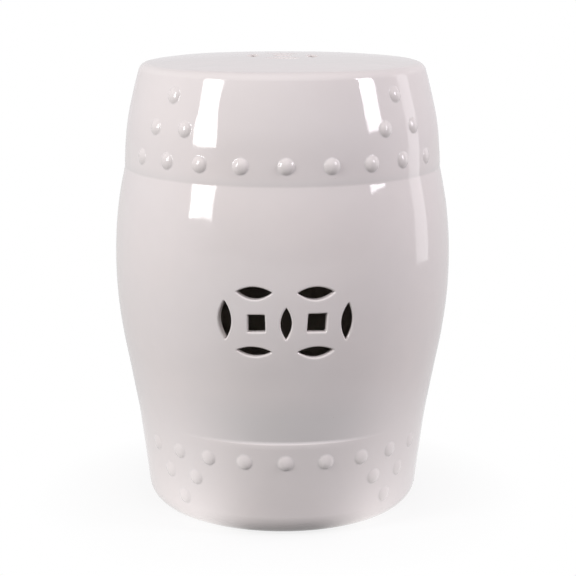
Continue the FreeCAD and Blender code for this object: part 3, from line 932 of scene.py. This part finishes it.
# pooled glaze, greyer, which is also painted shade; below it thin glaze, lighter, which is also painted
# light
pooled_shaded_glaze = (0.715, 0.690, 0.685)
thin_lit_glaze = (0.835, 0.790, 0.765)
iron_speck = (0.42, 0.34, 0.27)
pale_clay = (0.72, 0.67, 0.61)
stained_clay = (0.63, 0.57, 0.51)
grit_grain = (0.48, 0.42, 0.36)
cloud_size = 120 * mm
mottle_size = 18 * mm
mottle_shares = (0.35, 0.7, 0, 0.5)
pooled_shade_share, thinned_light_share = 0.60, 0.45
gloss_size = 30 * mm
peel_size = 3.5 * mm
peel_depth = 0.02 * mm
speck_spaces = 110.0             # in a metre
speck_choice = (0.955, 0.97, 0, 1)        # only a few of the spaces hold a speck
speck_edge = (0.025, 0.05, 0.55, 0)       # strength by distance from its middle, in spacings
glaze_roughness = (0.045, 0.085)
clay_roughness = (0.75, 0.92)
glaze_refraction = 1.54
stain_size = 40 * mm
grit_size = 1.2 * mm
grit_shares = (0.55, 0.75, 0, 0.5)
dull_size = 10 * mm
sand_size = 1.5 * mm
sand_depth = 0.15 * mm
most_noise = (0.3, 0.7)          # the range that most of a noise fills


class Graph:
    """The nodes of a material or of the world."""

    def __init__(self, owner, output):
        owner.use_nodes = True
        self.nodes, self.links = owner.node_tree.nodes, owner.node_tree.links
        self.nodes.clear()
        self.output = self.nodes.new(output)
        self.coordinates = self.nodes.new("ShaderNodeTexCoord")

    def feed(self, socket, value):
        """Gives the socket a number, place or colour, an output, or a node's first output."""
        if isinstance(value, bpy.types.Node):
            value = value.outputs[0]
        if isinstance(value, bpy.types.NodeSocket):
            self.links.new(value, socket)
        else:
            socket.default_value = (*value, 1) if socket.type == "RGBA" else value

    def add(self, kind, inputs, **settings):
        node = self.nodes.new("ShaderNode" + kind)
        for name, value in settings.items():
            setattr(node, name, value)
        for name, value in inputs.items():
            self.feed(node.inputs[name], value)
        return node

    def math(self, operation, *values):
        return self.add("Math", dict(enumerate(values)), operation=operation)

    def spread(self, value, low, high, to_low, to_high):
        """The value carried from one range to another, and held inside it."""
        ends = {"Value": value, "From Min": low, "From Max": high, "To Min": to_low, "To Max": to_high}
        return self.add("MapRange", ends)

    def noise(self, size, detail=2.0, offset=(0, 0, 0)):
        """Noise with lumps of about the given size."""
        place = self.add("Mapping", {"Vector": self.coordinates.outputs["Object"], "Location": offset})
        texture = {"Vector": place, "Scale": 1 / size, "Detail": detail}
        return self.add("TexNoise", texture)

    def blend(self, factor, first, second):
        """Mix of two colours. Their sockets come after those for numbers and vectors."""
        colours = {"Factor": factor, 6: first, 7: second}
        return self.add("Mix", colours, data_type="RGBA").outputs[2]

    def principled(self, colour, roughness, normal, refraction=1.5):
        inputs = {"Base Color": colour, "Roughness": roughness, "Normal": normal, "IOR": refraction}
        return self.add("BsdfPrincipled", inputs)

    def mix_shaders(self, factor, first, second):
        return self.add("MixShader", {0: factor, 1: first, 2: second})

    def bump(self, height, strength, depth):
        inputs = {"Height": height, "Strength": strength, "Distance": depth}
        return self.add("Bump", inputs)

    def axis(self, name, system="Object"):
        """One coordinate of the place, or of the world's direction."""
        return self.add("SeparateXYZ", {"Vector": self.coordinates.outputs[system]}).outputs[name]

    def seen_factor(self, reflected_share):
        """1 for rays from the camera, a share for reflected or refracted ones, 0 for the rest."""
        path = self.add("LightPath", {})
        reflected = self.math("MAXIMUM", path.outputs["Is Glossy Ray"], path.outputs["Is Transmission Ray"])
        reflected = self.math("MULTIPLY", reflected, reflected_share)
        return self.math("MAXIMUM", path.outputs["Is Camera Ray"], reflected)


def make_material(name, finish):
    """A material with the surface that finish makes in its graph."""
    material = bpy.data.materials.new(name)
    graph = Graph(material, "ShaderNodeOutputMaterial")
    graph.feed(graph.output.inputs["Surface"], finish(graph))
    return material


def glaze_finish(graph):
    """White glaze with faint clouds and a few specks, thin and painted lighter on edges, pooled and painted
    darker in creases.
    """
    clouds = graph.spread(graph.noise(cloud_size), *most_noise, 0, 1)
    colour = graph.blend(clouds, warm_glaze, cool_glaze)
    mottle = graph.spread(graph.noise(mottle_size, 3.0, (1, 2, 3)), *mottle_shares)
    colour = graph.blend(mottle, colour, dull_glaze)

    pooling_and_shade = graph.add("Attribute", {}, attribute_name="pooling_and_shade").outputs["Fac"]
    # painted shade where the attribute is above zero, painted light where it is below zero
    colour = graph.blend(graph.spread(pooling_and_shade, 0, 1, 0, pooled_shade_share), colour, pooled_shaded_glaze)
    colour = graph.blend(graph.spread(pooling_and_shade, 0, -1, 0, thinned_light_share), colour, thin_lit_glaze)

    cells = {"Scale": speck_spaces, "Vector": graph.coordinates.outputs["Object"]}
    specks = graph.add("TexVoronoi", cells)
    chosen = graph.add("SeparateColor", {"Color": specks.outputs["Color"]})
    rare = graph.spread(chosen, *speck_choice)
    dot = graph.spread(specks.outputs["Distance"], *speck_edge)
    colour = graph.blend(graph.math("MULTIPLY", rare, dot), colour, iron_speck)

    roughness = graph.spread(graph.noise(gloss_size, 3.0, (5, 1, 0)), *most_noise, *glaze_roughness)
    peel = graph.bump(graph.noise(peel_size, 1.0, (2, 7, 1)), 0.25, peel_depth)
    return graph.principled(colour, roughness, peel, glaze_refraction)


def clay_finish(graph):
    """Unglazed stoneware: pale buff, sandy and dull."""
    stains = graph.spread(graph.noise(stain_size, 4.0), *most_noise, 0, 1)
    colour = graph.blend(stains, pale_clay, stained_clay)
    grit = graph.spread(graph.noise(grit_size, 2.0, (3, 3, 3)), *grit_shares)
    colour = graph.blend(grit, colour, grit_grain)
    roughness = graph.spread(graph.noise(dull_size), *most_noise, *clay_roughness)
    sand = graph.bump(graph.noise(sand_size, 4.0), 0.5, sand_depth)
    return graph.principled(colour, roughness, sand)


# Stage. Ranges are from, to, and the value at each end
white = (1.0, 1.0, 1.0)
floor_half = 4.0
floor_paper = (0.9, 0.9, 0.9)    # what the camera sees shaded
floor_bounce = (0.06, 0.06, 0.06)
floor_mirrored = 0.75            # how much of the floor shows in the glaze
whiter_outwards = (0.14, 0.26, 0.8, 1.0)
beside_stool = (0.2, 0.6, 0.0, 0.95)
less_at_sides = (0.7, 1.0, 1.0, 0.55)
from_foot = (0.10, 0.12, 0.0, 1.0)
to_glow_end = (0.18, 0.42, 1.0, 0.0)
rim_strength = 0.12
to_rim_end = (0.16, 0.24, 1.0, 0.0)


def floor_finish(graph):
    """To the camera white paper, shaded near the stool. To the stool, a darker floor that glows
    beside the foot."""
    place = {0: graph.coordinates.outputs["Object"]}
    distance = graph.add("VectorMath", place, operation="LENGTH").outputs["Value"]
    paper = graph.add("BsdfDiffuse", {"Color": floor_paper})
    plain = graph.add("Emission", {"Strength": 1.0})
    shown = graph.mix_shaders(graph.spread(distance, *whiter_outwards), paper, plain)

    # painted light: to the stool, the floor glows beside the foot at the sides and in a thin ring round the
    # foot
    sideways = graph.math("DIVIDE", graph.math("ABSOLUTE", graph.axis("X")), distance)
    aside = graph.math("MULTIPLY", graph.spread(sideways, *beside_stool),
                       graph.spread(sideways, *less_at_sides))
    start = graph.spread(distance, *from_foot)
    near = graph.math("MULTIPLY", start, graph.spread(distance, *to_glow_end))
    rim = graph.math("MULTIPLY", graph.math("MULTIPLY", start, rim_strength),
                     graph.spread(distance, *to_rim_end))
    glow = graph.math("MAXIMUM", graph.math("MULTIPLY", aside, near), rim)
    lit = graph.add("Emission", {"Strength": glow})
    shaded = graph.add("BsdfDiffuse", {"Color": floor_bounce})
    bounce = graph.add("AddShader", {0: shaded, 1: lit})
    return graph.mix_shaders(graph.seen_factor(floor_mirrored), bounce, shown)


def make_floor():
    corners = [(x * floor_half, y * floor_half, 0) for x, y in ((-1, -1), (1, -1), (1, 1), (-1, 1))]
    mesh = bpy.data.meshes.new("floor")
    mesh.from_pydata(corners, [], [(0, 1, 2, 3)])
    mesh.materials.append(make_material("pale_floor", floor_finish))
    put_in_scene("floor", mesh)


# Studio light. Ranges run along an axis of the direction: the level, and what is taken off it
soft_white = (1.0, 0.975, 1.0)
level_to_right = (0.2, 0.8, 0.71, 0.78)
overhead = (0.4, 0.8, 0.0, 1.0)
overhead_to_back = (-0.7, 0.4, -0.22, 0.45)
low_to_high = (0.0, 0.5, 0.42, -0.2)
front_to_side = (-0.85, -0.3, 1.0, 0.0)
backdrop_edge = (0.82, 0.97, 0.0, 1.0)
backdrop_mirrored = 0.3          # how much of the white backdrop shows in the glaze
aim_height = 0.38
softbox_distance = 1.7
softboxes = {                    # azimuth, elevation, width, height, radiance and colour
    "left_softbox": (-56.7, 19.5, 0.53, 1.04, 10.0, white),
    "right_softbox": (67.2, 22.0, 0.38, 0.84, 11.0, (0.98, 0.94, 1.0)),
    "right_strip": (104.0, 3.0, 0.4, 1.5, 1.4, (1.0, 0.98, 1.0)),
}


def make_world():
    """White to the camera and in reflections of the backdrop. Its soft light is a little stronger
    from the right and the high front, and weaker from the low front and above the back."""
    world = bpy.data.worlds.new("studio")
    graph = Graph(world, "ShaderNodeOutputWorld")
    x, y, z = [graph.axis(name, "Generated") for name in "XYZ"]
    above = graph.math("MULTIPLY", graph.spread(z, *overhead), graph.spread(y, *overhead_to_back))
    front = graph.math("MULTIPLY", graph.spread(z, *low_to_high), graph.spread(y, *front_to_side))
    level = graph.spread(x, *level_to_right)
    strength = graph.math("SUBTRACT", level, graph.math("ADD", above, front))
    soft = graph.add("Background", {"Color": soft_white, "Strength": strength})
    plain = graph.add("Background", {"Color": white, "Strength": 1.0})
    mirrored = graph.math("MULTIPLY", graph.seen_factor(backdrop_mirrored), graph.spread(y, *backdrop_edge))
    shown = graph.math("MAXIMUM", graph.add("LightPath", {}).outputs["Is Camera Ray"], mirrored)
    surface = graph.mix_shaders(shown, soft, plain)
    graph.feed(graph.output.inputs["Surface"], surface)
    bpy.context.scene.world = world


def make_softboxes():
    """Upright soft lights that face the stool's upper half."""
    for name, (azimuth, elevation, width, height, radiance, colour) in softboxes.items():
        azimuth, elevation = math.radians(azimuth), math.radians(elevation)
        away = Vector((math.sin(azimuth), -math.cos(azimuth), math.tan(elevation)))
        lamp = bpy.data.lights.new(name, "AREA")
        lamp.shape = "RECTANGLE"
        lamp.size, lamp.size_y = width, height
        lamp.energy = radiance * math.pi * width * height
        lamp.color = colour
        light = put_in_scene(name, lamp)
        light.location = Vector((0, 0, aim_height)) + away * softbox_distance
        light.rotation_euler = (math.radians(90), 0, azimuth)


def make_camera():
    """The photograph's camera, as fitted to the stool's outline."""
    camera = put_in_scene("camera", bpy.data.cameras.new("camera"))
    camera.data.lens = 106.1
    camera.data.sensor_width = 36
    camera.data.shift_x = 0.00964
    camera.location = (-0.0374, -1.7017, 0.5830)
    camera.rotation_euler = (math.radians(77.95), 0, math.radians(-1.26))
    bpy.context.scene.camera = camera


make_camera()
glaze = make_material("white_glaze", glaze_finish)
bare_clay = make_material("bare_stoneware", clay_finish)
foot_rows, lower_rows, belly_rows, upper_rows, seat_rows = make_outlines()
make_foot(foot_rows)
make_lower_drum(*lower_rows)
make_belly(*belly_rows)
make_upper_drum(upper_rows)
make_seat(seat_rows)
make_all_studs()

make_floor()
make_world()
make_softboxes()

bpy.context.scene.view_settings.view_transform = "Standard"
